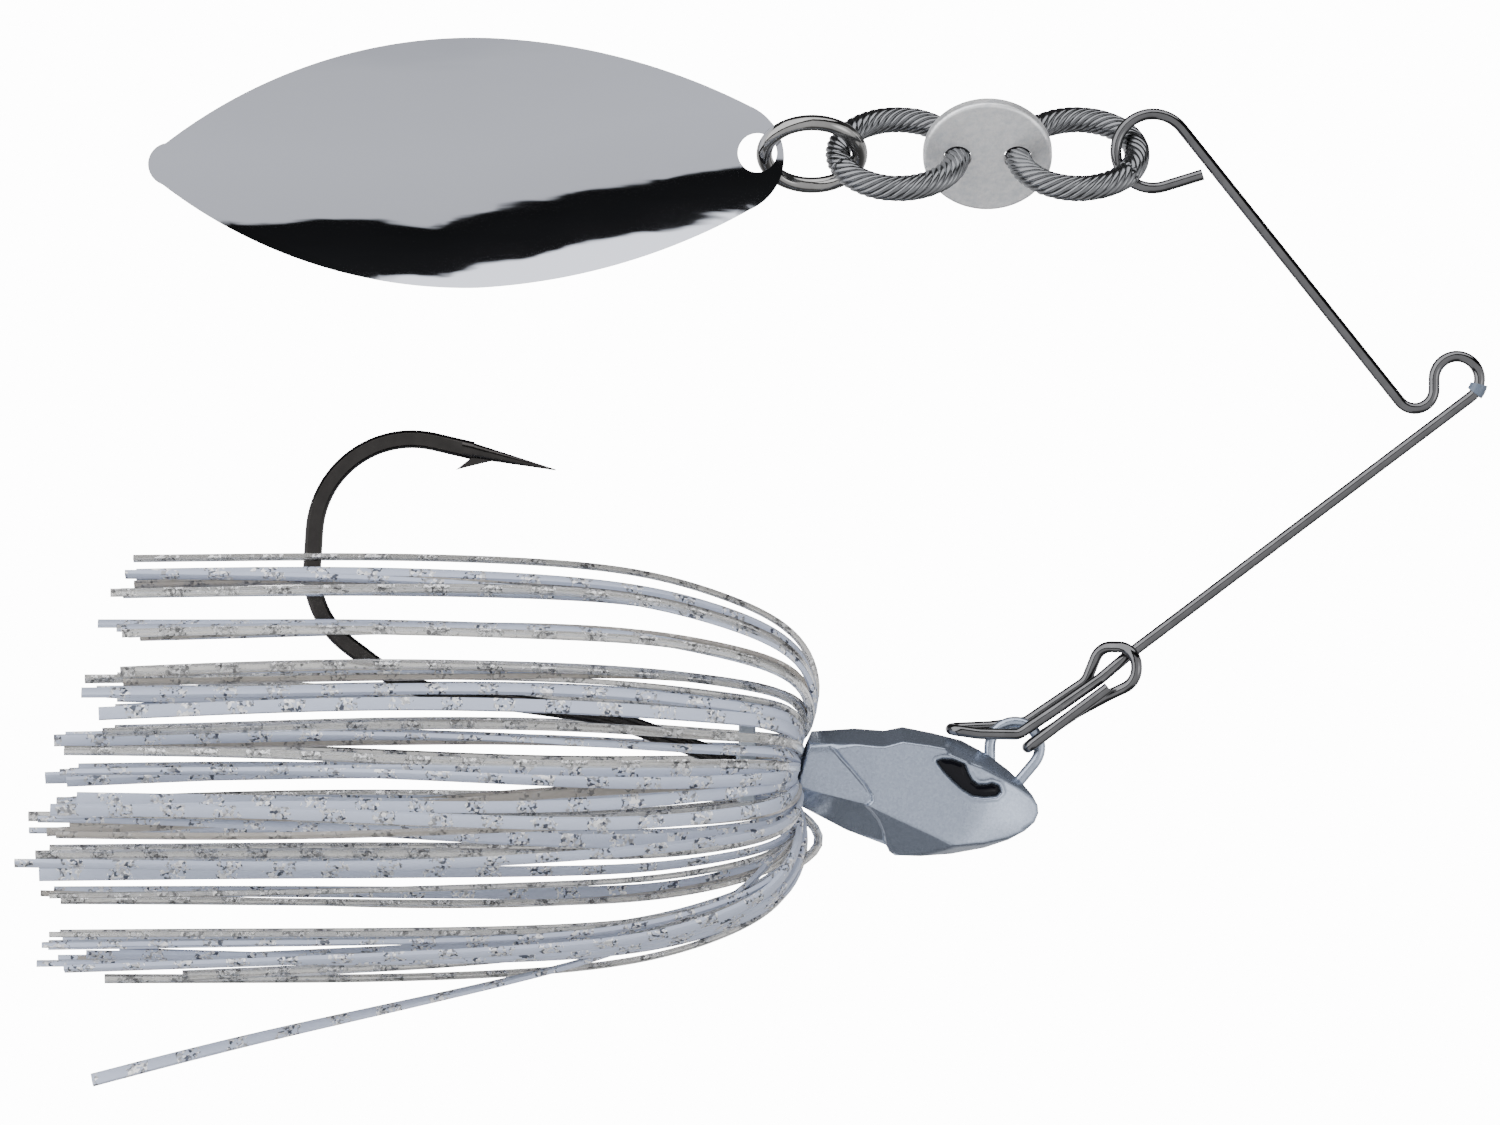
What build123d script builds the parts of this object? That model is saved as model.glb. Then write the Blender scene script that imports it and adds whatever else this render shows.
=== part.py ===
from math import asin, atan2, cos, degrees, hypot, radians, sin
import os

from build123d import *

os.makedirs("parts", exist_ok=True)

# A spinnerbait, upright as it swims: +X is forward, +Z is up, and Y is across it.
# The origin is the centre of the line tie, the loop at the front of the wire arm.
# Sizes are in millimetres.

# Shared sizes
wire_radius = 0.5
running_gap = 0.05
line_tie_radius = 2.0
eye_radius = 3.26
eye_x = -26.75
eye_rise = 0.26
elbow_drop = 5.76
chain_z = 19.8
link_radius = 5.25
rope_radius = 1.15
link_lean = 53.0
link_slack = 0.21
disc_radius = 5.7
disc_thickness = 1.2
disc_hole_pitch = 5.3
disc_hole_radius = rope_radius + 0.09
ring_radius = 4.2
ring_wire_radius = 0.7
ring_lean = -51.0
blade_thickness = 0.5
blade_hole_radius = 1.72
blade_cross_radius = 24.0
blade_length_radius = 158.0
hook_wire_radius = 0.8
head_half_width = 4.4
head_rear_half_width = 3.9
head_ring_radius = 2.2
head_ring_x = -38.9
head_ring_z = -32.4
collar_radius = 2.3
skirt_axis_z = -34.3
skirt_wall = 0.3
skirt_layer_gap = 0.05
skirt_radius = 20.4
skirt_tail_x = -123.0
skirt_band_wall = 0.95

# Positions that follow from the chain: each piece hangs on the one before it
eye_z = chain_z + eye_rise
link_front_x = eye_x - eye_radius + wire_radius + rope_radius + link_slack - link_radius
disc_x = link_front_x - link_radius - disc_hole_pitch / 2
link_rear_x = disc_x - disc_hole_pitch / 2 - link_radius
jump_ring_x = link_rear_x - link_radius + rope_radius + ring_wire_radius + running_gap - ring_radius
blade_hole_x = jump_ring_x - ring_radius + ring_wire_radius + 0.42 - blade_hole_radius


def on_circle(x, z, radius, degrees):
    """A point on a circle in the XZ plane, counted from +X towards +Z."""
    return (x + radius * cos(radians(degrees)), 0, z + radius * sin(radians(degrees)))


def leaning_plane(x, z, lean):
    """A plane along X whose upper side leans back from the vertical by the angle."""
    return Plane(origin=(x, 0, z), x_dir=(1, 0, 0), z_dir=(0, -cos(radians(lean)), sin(radians(lean))))


def closed_ring(x, z, lean, radius, section_radius, seam_degrees):
    """A ring of round wire with a hairline butt seam, outside any builder."""
    plane = leaning_plane(x, z, lean)
    width = 4 * section_radius
    ring = plane * Torus(radius, section_radius, mode=Mode.PRIVATE)
    seam = Rot(0, 0, seam_degrees) * Pos(radius, 0, 0) * Box(width, 0.06, width, mode=Mode.PRIVATE)
    return ring - plane * seam


# Wire arm: tail, upper eye, upper arm, elbow, line tie, lower arm, then the clip
eye_run = -line_tie_radius - eye_x
eye_height = eye_z + elbow_drop
arm_lean = degrees(atan2(eye_height, eye_run) + asin(eye_radius / hypot(eye_run, eye_height)))
tail_lean = 17.0
tail_length = 3.6
elbow_radius = 1.7
lower_lean = 37.0
clip_half_width = 2 * wire_radius + 0.1
clip_turn_x = head_ring_x + head_ring_radius - 2 * wire_radius - running_gap

arm_eye_bottom = on_circle(eye_x, eye_z, eye_radius, tail_lean - 90)
arm_eye_left = on_circle(eye_x, eye_z, eye_radius, 180)
arm_eye_top = on_circle(eye_x, eye_z, eye_radius, 90 - arm_lean)
tail_end = (
    arm_eye_bottom[0] + tail_length * cos(radians(tail_lean)),
    0,
    arm_eye_bottom[2] + tail_length * sin(radians(tail_lean)),
)
elbow_corner = (-line_tie_radius, 0, -elbow_drop)
tie_left = (-line_tie_radius, 0, 0)
tie_top = on_circle(0, 0, line_tie_radius, 60)
tie_bottom = on_circle(0, 0, line_tie_radius, lower_lean - 90)

with BuildPart() as wire_arm:
    with BuildLine() as arm_path:
        Line(tail_end, arm_eye_bottom)
        ThreePointArc(arm_eye_bottom, arm_eye_left, arm_eye_top)
        FilletPolyline(arm_eye_top, elbow_corner, tie_left, radius=elbow_radius)
        ThreePointArc(tie_left, tie_top, tie_bottom)
        FilletPolyline(
            tie_bottom,
            # the upper strand of the clip, coming out through the teardrop
            (-28.9, 0, -24.28),
            (-31.3, -0.35, -26.3),
            (-35.0, -clip_half_width, -28.85),
            (-38.6, -clip_half_width, -31.25),
            # the long flat loop round the left of the head's ring
            (-42.0, -clip_half_width, -31.2),
            (-44.5, -clip_half_width, -30.85),
            (-44.5, clip_half_width, -30.75),
            (-41.0, clip_half_width, -30.6),
            (-37.9, clip_half_width, -30.2),
            # the teardrop that the arm passes through
            (-32.6, 0.85, -26.6),
            (-31.4, 0.3, -23.55),
            (-28.25, -1.35, -23.6),
            (-28.2, -1.2, -26.65),
            (-30.7, -0.1, -27.85),
            (-33.45, 0.7, -29.35),
            (-36.6, clip_half_width, -31.5),
            # the turn through the head's ring, then the free end
            (clip_turn_x, clip_half_width, head_ring_z),
            (clip_turn_x, -clip_half_width, head_ring_z),
            (-34.0, -1.15, -29.6),
            (-30.7, -1.05, -27.15),
            radius=(4, 4, 2, 1.2, 4, 0.9, 0.9, 4, 1.0, 1.6, 1.65, 1.65, 1.9, 3, 3, 0.8, 0.55, 0.55, 4),
        )
    # the section's x direction keeps the wire's seam off the inside of the bends
    with BuildSketch(Plane(origin=tail_end, x_dir=(0, 1, 0), z_dir=Vector(*arm_eye_bottom) - Vector(*tail_end))):
        Circle(wire_radius)
    sweep()
wire_arm.part.label = "wire_arm"
export_step(wire_arm.part, "parts/wire_arm.step")

# Line tie band: a short sleeve on the front of the line tie
band_wall = 0.28
band_degrees = 26.0
with BuildPart() as line_tie_band:
    with BuildSketch(Plane.XY):
        with Locations((line_tie_radius, 0)):
            Circle(wire_radius + band_wall)
            Circle(wire_radius, mode=Mode.SUBTRACT)
    revolve(axis=Axis.Y, revolution_arc=band_degrees)
line_tie_band.part = Rot(0, band_degrees / 2, 0) * line_tie_band.part
line_tie_band.part.label = "line_tie_band"
export_step(line_tie_band.part, "parts/line_tie_band.step")

# Twisted rings of the chain, plain here, one each side of the disc
with BuildPart() as link_front:
    add(closed_ring(link_front_x, chain_z, link_lean, link_radius, rope_radius, -35))
link_front.part.label = "link_front"
export_step(link_front.part, "parts/link_front.step")

with BuildPart() as link_rear:
    add(closed_ring(link_rear_x, chain_z, link_lean, link_radius, rope_radius, -155))
link_rear.part.label = "link_rear"
export_step(link_rear.part, "parts/link_rear.step")

# Disc between the links, square to their wires where they pass through it
with BuildPart() as chain_disc:
    with BuildSketch(leaning_plane(disc_x, chain_z, link_lean - 90)):
        Circle(disc_radius)
        with GridLocations(disc_hole_pitch, 0, 2, 1):
            Circle(disc_hole_radius, mode=Mode.SUBTRACT)
    extrude(amount=disc_thickness / 2, both=True)
    fillet(chain_disc.edges().filter_by(GeomType.CIRCLE).sort_by(SortBy.RADIUS)[-2:], 0.3)
chain_disc.part.label = "chain_disc"
export_step(chain_disc.part, "parts/chain_disc.step")

# Jump ring that carries the blade
with BuildPart() as jump_ring:
    add(closed_ring(jump_ring_x, chain_z, ring_lean, ring_radius, ring_wire_radius, -50))
jump_ring.part.label = "jump_ring"
export_step(jump_ring.part, "parts/jump_ring.step")

# Blade: a willow leaf cut from a doubly curved shell, hollow side at -Y
blade_hole_z = chain_z + 0.1
blade_mid_x = blade_hole_x - 25.45
blade_mid_z = blade_hole_z - 0.9
blade_plane = Plane(origin=(blade_hole_x, 0, blade_hole_z), x_dir=(1, 0, 0), z_dir=(0, -1, 0))
blade_end_depth = blade_length_radius - (blade_length_radius**2 - 25.3**2) ** 0.5
with BuildPart() as blade:
    with BuildSketch(Plane.XY.offset(blade_mid_z)):
        with Locations((blade_mid_x, blade_end_depth - blade_length_radius)):
            Circle(blade_length_radius + blade_thickness / 2)
            Circle(blade_length_radius - blade_thickness / 2, mode=Mode.SUBTRACT)
        with Locations((blade_mid_x, blade_end_depth)):
            Rectangle(60, 16, mode=Mode.INTERSECT)
    revolve(axis=Axis((blade_mid_x, blade_end_depth - blade_cross_radius, blade_mid_z), (1, 0, 0)))
    with BuildSketch(blade_plane):
        with BuildLine():
            ThreePointArc((-52.05, 0.85), (-39.95, 7.5), (-23.85, 10.1))
            ThreePointArc((-23.85, 10.1), (-12.05, 8.4), (-0.65, 4.1))
            ThreePointArc((-0.65, 4.1), (2.35, -0.4), (-0.65, -5.0))
            ThreePointArc((-0.65, -5.0), (-11.85, -9.7), (-24.65, -11.9))
            ThreePointArc((-24.65, -11.9), (-39.65, -9.6), (-52.35, -2.8))
            ThreePointArc((-52.35, -2.8), (-53.6, -1.0), (-52.05, 0.85))
        make_face()
        Circle(blade_hole_radius, mode=Mode.SUBTRACT)
    extrude(amount=12, both=True, mode=Mode.INTERSECT)
blade.part.label = "blade"
export_step(blade.part, "parts/blade.step")

# Hook: round wire with flats on the bend, a tapered point, a barb and a buried eye
hook_tip = (-79.3, 0, -8.0)
point_root = (-86.6, 0, -6.31)
with BuildPart() as hook:
    with BuildLine() as hook_path:
        FilletPolyline(
            (-50.5, 0, -35.6),
            (-64.0, 0, -33.6),
            (-75.0, 0, -29.6),
            (-92.5, 0, -27.2),
            (-101.0, 0, -20.8),
            (-99.9, 0, -3.2),
            point_root,
            radius=(20, 25, 12, 8, 8.6),
        )
    with BuildSketch(Plane(origin=hook_path.line @ 0, z_dir=hook_path.line % 0)):
        Circle(hook_wire_radius)
    sweep()
    # forged flats on the bend
    with Locations((-100, hook_wire_radius, -15), (-100, -hook_wire_radius, -15)):
        Box(25, 0.36, 24, mode=Mode.SUBTRACT)
    # tapered point
    with BuildSketch(Plane(origin=point_root, z_dir=hook_path.line % 1)):
        Circle(hook_wire_radius - 0.1)
    with BuildSketch(Plane(origin=hook_tip, z_dir=hook_path.line % 1)):
        Circle(0.06)
    loft()
    # barb, raised from the underside of the point
    with BuildSketch(Plane.XZ):
        with BuildLine():
            Polyline((-84.0, -7.0), (-88.1, -8.0), (-86.3, -6.6), (-84.6, -6.3), close=True)
        make_face()
    extrude(amount=0.3, both=True)
    # eye, buried in the head
    with Locations(Pos(-49.2, 0, -35.9) * Rot(90, 0, 0)):
        Torus(1.6, 0.7)
hook.part.label = "hook"
export_step(hook.part, "parts/hook.step")

# Ring of wire cast into the top of the head, with its two buried legs
ring_left = on_circle(head_ring_x, head_ring_z, head_ring_radius, 180)
ring_top = on_circle(head_ring_x, head_ring_z, head_ring_radius, 70)
ring_right = on_circle(head_ring_x, head_ring_z, head_ring_radius, -40)
with BuildPart() as head_ring:
    with BuildLine() as ring_path:
        Line((ring_left[0], 0, ring_left[2] - 3.6), ring_left)
        ThreePointArc(ring_left, ring_top, ring_right)
        Line(ring_right, (ring_right[0] - 2.3, 0, ring_right[2] - 2.74))
    with BuildSketch(Plane(origin=ring_path.line @ 0, z_dir=(0, 0, 1))):
        Circle(wire_radius)
    sweep()
head_ring.part.label = "head_ring"
export_step(head_ring.part, "parts/head_ring.step")


def cheek(side):
    """The workplane just proud of the flat of the cheek, facing out to one side of the head."""
    return Plane(origin=(-43, side * 3.25, -35), x_dir=(1, -side * 0.16, 0), z_dir=(0.16, side, 0))


def eye_outline(side, inset):
    """The hooked outline of an eye, drawn on the cheek plane."""
    points = [(-2.75, 1.45), (-1.45, -0.25), (0.3, -1.6), (2.55, -1.65), (2.7, -1.05), (1.9, -0.6)]
    points += [(0.7, -0.8), (0.0, 0.1), (-0.3, 1.0), (-1.5, 1.5)]
    with BuildSketch(cheek(side)) as outline:
        with BuildLine():
            Polyline([(x, -side * z) for x, z in points], close=True)
        make_face()
        offset(amount=-inset, kind=Kind.INTERSECTION)
    return outline.sketch


# Head: a faceted casting whose face mask stands proud of the rear body
with BuildPart() as head:
    with BuildSketch(Plane.XZ):
        with BuildLine():
            ThreePointArc((-56.8, -31.0), (-53.0, -30.75), (-48.8, -30.7))
            ThreePointArc((-48.8, -30.7), (-44.8, -31.45), (-41.2, -33.1))
            ThreePointArc((-41.2, -33.1), (-39.0, -34.85), (-37.2, -36.8))
            ThreePointArc((-37.2, -36.8), (-36.8, -38.0), (-37.3, -39.3))
            ThreePointArc((-37.3, -39.3), (-41.1, -41.15), (-45.5, -41.95))
            Polyline((-45.5, -41.95), (-49.5, -41.9), (-50.2, -41.1), (-58.2, -37.3), (-58.4, -35.8))
            Line((-58.4, -35.8), (-56.8, -31.0))
        make_face()
    extrude(amount=head_half_width, both=True)
    # plan view: widest at the gills, narrow at the nose
    with BuildSketch(Plane.XY.offset(-36)):
        with BuildLine() as plan:
            Polyline((-58.5, 0), (-58.5, 3.4), (-51.0, head_half_width), (-42.0, 3.0))
            ThreePointArc((-42.0, 3.0), (-38.4, 1.9), (-36.7, 0))
            mirror(about=Plane.XZ)
        make_face()
    extrude(amount=8, both=True, mode=Mode.INTERSECT)
    for side in (-1, 1):
        # top facet, from the ridge down to the cheek
        split(
            bisect_by=Plane(origin=(-51, side * 0.9, -30.7), x_dir=(1, 0, -0.06), z_dir=(0.03, side * 0.36, 0.93)),
            keep=Keep.BOTTOM,
        )
        # brow facet, over the front of the cheek
        split(
            bisect_by=Plane(origin=(-40.0, side * 1.0, -34.1), x_dir=(1, 0, -0.9), z_dir=(0.62, side * 0.6, 0.74)),
            keep=Keep.BOTTOM,
        )
        # lower facet, from the flat side down to the belly
        split(
            bisect_by=Plane(origin=(-50, side * 4.2, -38.4), x_dir=(1, 0, -0.3), z_dir=(-0.16, side * 0.7, -0.6)),
            keep=Keep.BOTTOM,
        )
        # the rear body, set back from the edge of the mask along the gill
        with BuildSketch(Plane.XZ.offset(-side * head_rear_half_width)):
            with BuildLine():
                Polyline(
                    (-60, -29),
                    (-48.8, -29),
                    (-48.8, -30.6),
                    (-50.0, -31.2),
                    (-52.2, -31.9),
                    (-55.1, -32.3),
                    (-53.6, -33.8),
                    (-51.6, -36.5),
                    (-52.2, -37.5),
                    (-51.0, -38.5),
                    (-50.3, -39.8),
                    (-49.5, -42.5),
                    (-60, -42.5),
                    close=True,
                )
            make_face()
        extrude(amount=-side * 2, mode=Mode.SUBTRACT)
        add(extrude(eye_outline(side, 0), amount=-0.65, mode=Mode.PRIVATE), mode=Mode.SUBTRACT)
    # collar that the skirt is pushed on to
    with BuildSketch(Plane(origin=(-57.5, 0, skirt_axis_z), z_dir=(-1, 0, 0))):
        Circle(collar_radius)
    extrude(amount=6)
    add(hook.part, mode=Mode.SUBTRACT)
    add(head_ring.part, mode=Mode.SUBTRACT)
head.part.label = "head"
export_step(head.part, "parts/head.step")

# Eyes: inlays that stand a little proud of the cheeks
with BuildPart() as eye_left:
    extrude(eye_outline(-1, 0.03), amount=-0.65)
eye_left.part.label = "eye_left"
export_step(eye_left.part, "parts/eye_left.step")

with BuildPart() as eye_right:
    extrude(eye_outline(1, 0.03), amount=-0.65)
eye_right.part.label = "eye_right"
export_step(eye_right.part, "parts/eye_right.step")

# Skirt root: the layers lie one on another between the collar and the band
skirt_root_pitch = skirt_wall + skirt_layer_gap
root_radius = collar_radius + 0.1 + skirt_wall / 2
band_inner = root_radius + 2 * skirt_root_pitch + skirt_wall / 2 + running_gap
band_radius = band_inner + skirt_band_wall
band_front_x = -61.7
band_width = 1.5
with BuildPart() as skirt_band:
    with BuildSketch(Plane(origin=(band_front_x, 0, skirt_axis_z), z_dir=(-1, 0, 0))):
        Circle(band_radius)
        Circle(band_inner, mode=Mode.SUBTRACT)
    extrude(amount=band_width)
    fillet(skirt_band.edges().filter_by(GeomType.CIRCLE).sort_by(SortBy.RADIUS)[-2:], 0.25)
skirt_band.part.label = "skirt_band"
export_step(skirt_band.part, "parts/skirt_band.step")


def skirt_layer(depth):
    """A layer of the skirt: forward from under the band, then flared and swept back over the hook.

    The layer next to the collar flares furthest forward, so it is the outermost (depth 0).
    """
    with BuildPart() as layer:
        with BuildSketch(Plane.XZ):
            with BuildLine():
                FilletPolyline(
                    (-63.4, skirt_axis_z + root_radius + skirt_root_pitch * depth),
                    (-59.7 - 0.67 * depth, skirt_axis_z + root_radius + skirt_root_pitch * depth),
                    (-57.4 - 0.9 * depth, skirt_axis_z + 6.5),
                    (-58.6 - 0.75 * depth, skirt_axis_z + 13.5 - 0.5 * depth),
                    (-66.0 - 0.3 * depth, skirt_axis_z + skirt_radius - 2.2 - 0.8 * depth),
                    (-80.0, skirt_axis_z + skirt_radius - 0.4 - 0.8 * depth),
                    (skirt_tail_x - 1.5 * depth, skirt_axis_z + skirt_radius - 0.8 * depth),
                    radius=(0.7, 4, 5, 10, 20),
                )
            trace(line_width=skirt_wall)
        revolve(axis=Axis((0, 0, skirt_axis_z), (1, 0, 0)))
        # the strands part where the hook comes up through them
        with Locations((-100.2, 0, skirt_axis_z + skirt_radius)):
            Box(7, 4.4, 16, mode=Mode.SUBTRACT)
    return layer.part


# Skirt: three kinds of strand, each kind a layer
with BuildPart() as skirt_pearl:
    add(skirt_layer(0))
skirt_pearl.part.label = "skirt_pearl"
export_step(skirt_pearl.part, "parts/skirt_pearl.step")

with BuildPart() as skirt_clear:
    add(skirt_layer(1))
skirt_clear.part.label = "skirt_clear"
export_step(skirt_clear.part, "parts/skirt_clear.step")

with BuildPart() as skirt_smoke:
    add(skirt_layer(2))
skirt_smoke.part.label = "skirt_smoke"
export_step(skirt_smoke.part, "parts/skirt_smoke.step")

# One stray strand that trails below the others
with BuildPart() as skirt_stray:
    with BuildLine() as stray_path:
        FilletPolyline((-78.0, 0, -55.3), (-91.3, 0, -55.6), (-104.6, 0, -57.9), (-120.1, 0, -61.8), radius=(30, 30))
    with BuildSketch(Plane(origin=stray_path.line @ 0, z_dir=stray_path.line % 0)):
        Rectangle(1.2, 0.5)
    sweep()
skirt_stray.part.label = "skirt_stray"
export_step(skirt_stray.part, "parts/skirt_stray.step")
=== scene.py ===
import math
import random

import bpy
import numpy as np
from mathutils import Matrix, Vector, geometry


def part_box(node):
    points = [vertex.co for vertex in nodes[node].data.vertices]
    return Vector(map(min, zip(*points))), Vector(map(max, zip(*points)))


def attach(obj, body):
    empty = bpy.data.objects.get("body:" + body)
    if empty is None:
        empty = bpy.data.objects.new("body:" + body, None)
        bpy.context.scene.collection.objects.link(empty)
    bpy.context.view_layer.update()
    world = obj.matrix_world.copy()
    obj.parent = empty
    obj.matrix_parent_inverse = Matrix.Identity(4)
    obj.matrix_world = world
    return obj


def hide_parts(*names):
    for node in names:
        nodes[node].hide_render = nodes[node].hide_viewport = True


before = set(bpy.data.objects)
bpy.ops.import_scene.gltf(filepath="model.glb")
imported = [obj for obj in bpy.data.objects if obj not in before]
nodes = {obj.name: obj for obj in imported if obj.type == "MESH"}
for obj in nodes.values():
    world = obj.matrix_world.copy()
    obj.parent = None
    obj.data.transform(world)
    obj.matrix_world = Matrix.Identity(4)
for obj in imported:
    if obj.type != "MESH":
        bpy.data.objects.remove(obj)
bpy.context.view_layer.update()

MM = 0.001


# ---------------------------------------------------------------- materials


def material(name, color, metallic=0.0, roughness=0.5, **sockets):
    """A principled material with its plain values set on the shader's own sockets."""
    made = bpy.data.materials.new(name)
    made.use_nodes = True
    shader = made.node_tree.nodes["Principled BSDF"]
    shader.inputs["Base Color"].default_value = (*color, 1)
    shader.inputs["Metallic"].default_value = metallic
    shader.inputs["Roughness"].default_value = roughness
    for socket, value in sockets.items():
        shader.inputs[socket.replace("_", " ")].default_value = value
    return made


class Graph:
    """Short calls for building a material's nodes."""

    def __init__(self, made):
        self.tree = made.node_tree
        self.shader = self.tree.nodes["Principled BSDF"]

    def node(self, kind, **settings):
        made = self.tree.nodes.new(kind)
        for key, value in settings.items():
            setattr(made, key, value)
        return made

    def link(self, a, b):
        self.tree.links.new(a, b)

    def object_coordinates(self, scale=(1, 1, 1)):
        place = self.node("ShaderNodeTexCoord")
        mapping = self.node("ShaderNodeMapping")
        mapping.inputs["Scale"].default_value = scale
        self.link(place.outputs["Object"], mapping.inputs["Vector"])
        return mapping.outputs["Vector"]

    def noise(self, vector, scale, detail=2.0, roughness=0.5):
        made = self.node("ShaderNodeTexNoise")
        made.inputs["Scale"].default_value = scale
        made.inputs["Detail"].default_value = detail
        made.inputs["Roughness"].default_value = roughness
        self.link(vector, made.inputs["Vector"])
        return made.outputs["Fac"]

    def flakes(self, vector, scale):
        made = self.node("ShaderNodeTexVoronoi")
        made.inputs["Scale"].default_value = scale
        self.link(vector, made.inputs["Vector"])
        return made

    def ramp(self, value, stops):
        made = self.node("ShaderNodeValToRGB")
        ramp = made.color_ramp
        while len(ramp.elements) < len(stops):
            ramp.elements.new(0.5)
        for element, (place, color) in zip(ramp.elements, stops):
            element.position = place
            element.color = (*color, 1)
        self.link(value, made.inputs["Fac"])
        return made.outputs["Color"]

    def math(self, operation, a, b=None):
        made = self.node("ShaderNodeMath", operation=operation)
        for socket, value in zip(made.inputs, (a, b)):
            if value is None:
                continue
            if isinstance(value, (int, float)):
                socket.default_value = value
            else:
                self.link(value, socket)
        return made.outputs["Value"]

    def mix(self, factor, a, b):
        made = self.node("ShaderNodeMix", data_type="RGBA")
        for socket, value in zip((made.inputs[0], made.inputs[6], made.inputs[7]), (factor, a, b)):
            if isinstance(value, tuple):
                socket.default_value = (*value, 1)
            elif isinstance(value, (int, float)):
                socket.default_value = value
            else:
                self.link(value, socket)
        return made.outputs[2]

    def bump(self, height, strength, distance):
        made = self.node("ShaderNodeBump")
        made.inputs["Strength"].default_value = strength
        made.inputs["Distance"].default_value = distance
        self.link(height, made.inputs["Height"])
        self.link(made.outputs["Normal"], self.shader.inputs["Normal"])


def drawn_wire(name, color, roughness):
    made = material(name, color, 1.0, roughness)
    graph = Graph(made)
    place = graph.object_coordinates()
    tone = graph.noise(place, 900, 3)
    shade = graph.ramp(tone, [(0.3, tuple(0.8 * c for c in color)), (0.7, color)])
    graph.link(shade, graph.shader.inputs["Base Color"])
    graph.bump(graph.noise(place, 2500, 2), 0.15, 0.00003)
    return made


def disc_metal():
    made = material("disc_metal", (0.55, 0.57, 0.59), 0.8, 0.42)
    graph = Graph(made)
    place = graph.object_coordinates()
    tone = graph.noise(place, 1400, 4, 0.7)
    shade = graph.ramp(tone, [(0.34, (0.80, 0.825, 0.85)), (0.60, (1.0, 1.0, 1.0))])
    graph.link(shade, graph.shader.inputs["Base Color"])
    graph.bump(graph.noise(place, 2600, 3), 0.5, 0.00006)
    return made


def chrome():
    made = material("blade_chrome", (0.55, 0.57, 0.63), 1.0, 0.035)
    graph = Graph(made)
    place = graph.object_coordinates((1, 1, 1.6))
    broad = graph.noise(place, 75, 1.5)
    graph.bump(broad, 0.35, 0.0004)
    return made


def head_paint(name="head_paint", tint=1.0):
    made = material(name, (0.33, 0.37, 0.44), 0.85, 0.27, Coat_Weight=0.5, Coat_Roughness=0.06)
    graph = Graph(made)
    place = graph.object_coordinates()
    cells = graph.flakes(place, 5200)
    light = tuple(tint * c for c in (0.39, 0.445, 0.55))
    dark = tuple(tint * c for c in (0.33, 0.38, 0.475))
    shade = graph.ramp(cells.outputs["Color"], [(0.15, dark), (0.85, light)])
    graph.link(shade, graph.shader.inputs["Base Color"])
    graph.bump(cells.outputs["Distance"], 0.04, 0.00005)
    return made


def silicone(name, base, patch_dark, patch_light, transmission, roughness, flakes_everywhere=0.0):
    """Silicone with glitter: U of the UV map runs along the strand, in patch periods."""
    made = material(name, base, 0.0, roughness, Transmission_Weight=transmission, IOR=1.41)
    graph = Graph(made)
    uv = graph.node("ShaderNodeUVMap", uv_map="strand")
    split = graph.node("ShaderNodeSeparateXYZ")
    graph.link(uv.outputs["UV"], split.inputs["Vector"])
    place = graph.object_coordinates()
    wander = graph.noise(place, 900, 2)
    along = graph.math("ADD", split.outputs["X"], graph.math("MULTIPLY", wander, 0.35))
    wave = graph.math("SINE", graph.math("MULTIPLY", along, 2 * math.pi))
    patch = graph.ramp(wave, [(0.02, (0, 0, 0)), (0.30, (1, 1, 1))])
    cells = graph.flakes(place, 4200)
    grain = graph.ramp(cells.outputs["Color"], [(0.0, (0, 0, 0)), (1.0, (1, 1, 1))])
    share = graph.math("ADD", graph.math("MULTIPLY", patch, 0.55), flakes_everywhere)
    cover = graph.math("LESS_THAN", grain, share)
    flake = graph.ramp(graph.flakes(place, 3300).outputs["Color"], [(0.25, patch_dark), (0.75, patch_light)])
    graph.link(graph.mix(cover, base, flake), graph.shader.inputs["Base Color"])
    graph.link(graph.math("MULTIPLY", cover, 0.6), graph.shader.inputs["Metallic"])
    graph.bump(cells.outputs["Distance"], 0.25, 0.00005)
    return made


looks = {
    "stainless": drawn_wire("stainless", (0.17, 0.17, 0.175), 0.12),
    "link": drawn_wire("link_wire", (0.23, 0.235, 0.245), 0.2),
    "ring": drawn_wire("ring_wire", (0.36, 0.355, 0.345), 0.10),
    "disc": disc_metal(),
    "chrome": chrome(),
    "paint": head_paint(),
    "ring_paint": head_paint("ring_paint", 1.1),
    "eye": material("eye_black", (0.004, 0.004, 0.006), 0.0, 0.1, Specular_IOR_Level=0.18),
    "hook": drawn_wire("hook_dark", (0.055, 0.052, 0.05), 0.2),
    "sleeve": material("sleeve_blue", (0.10, 0.13, 0.18), 0.0, 0.3),
    "band": material("band_rubber", (0.45, 0.5, 0.56), 0.0, 0.45),
    "pearl": silicone("pearl_silicone", (0.44, 0.485, 0.60), (0.09, 0.10, 0.13), (1.0, 1.0, 1.0), 0.0, 0.38),
    "clear": silicone(
        "clear_silicone", (0.74, 0.73, 0.70), (0.2, 0.2, 0.2), (0.95, 0.95, 0.95), 0.8, 0.22, 0.12
    ),
    "smoke": silicone(
        "smoke_silicone", (0.42, 0.39, 0.35), (0.2, 0.19, 0.18), (0.5, 0.48, 0.45), 0.45, 0.35, 0.02
    ),
}

node_looks = {
    "wire_arm": "stainless",
    "line_tie_band": "sleeve",
    "chain_disc": "disc",
    "jump_ring": "ring",
    "head": "paint",
    "head_ring": "ring_paint",
    "eye_left": "eye",
    "eye_right": "eye",
    "hook": "hook",
    "skirt_band": "band",
}
for node, look in node_looks.items():
    piece = nodes[node]
    piece.data.materials.clear()
    piece.data.materials.append(looks[look])


# ---------------------------------------------------------------- mesh helpers


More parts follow.
